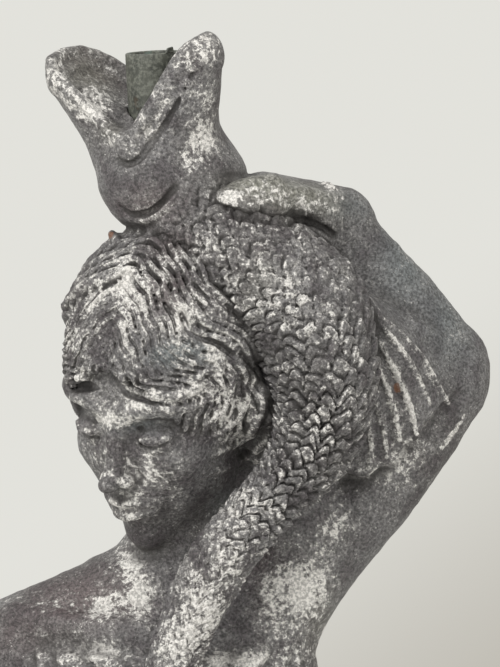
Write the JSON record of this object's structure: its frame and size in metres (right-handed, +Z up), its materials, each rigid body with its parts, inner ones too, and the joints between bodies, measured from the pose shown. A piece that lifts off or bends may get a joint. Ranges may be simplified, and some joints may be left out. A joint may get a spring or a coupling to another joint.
{
  "type": "lead fountain figure with fish spout",
  "caption": "Cast lead fountain statue of a draped nymph who holds a gaping fish on her shoulder, with a copper water pipe in the fish's mouth.",
  "frame": {"origin": "centre of the round base's underside", "axes": "+Z up along the figure, -Y towards the front of her body, +X towards her raised left arm"},
  "size_m": [0.256, 0.256, 0.9565],
  "materials": {
    "lead": "weathered grey lead with white oxide",
    "copper": "dark tarnished copper with verdigris"
  },
  "bodies": {
    "root": {"lead_figure": "lead", "copper_pipe": "copper"}
  },
  "joints": []
}
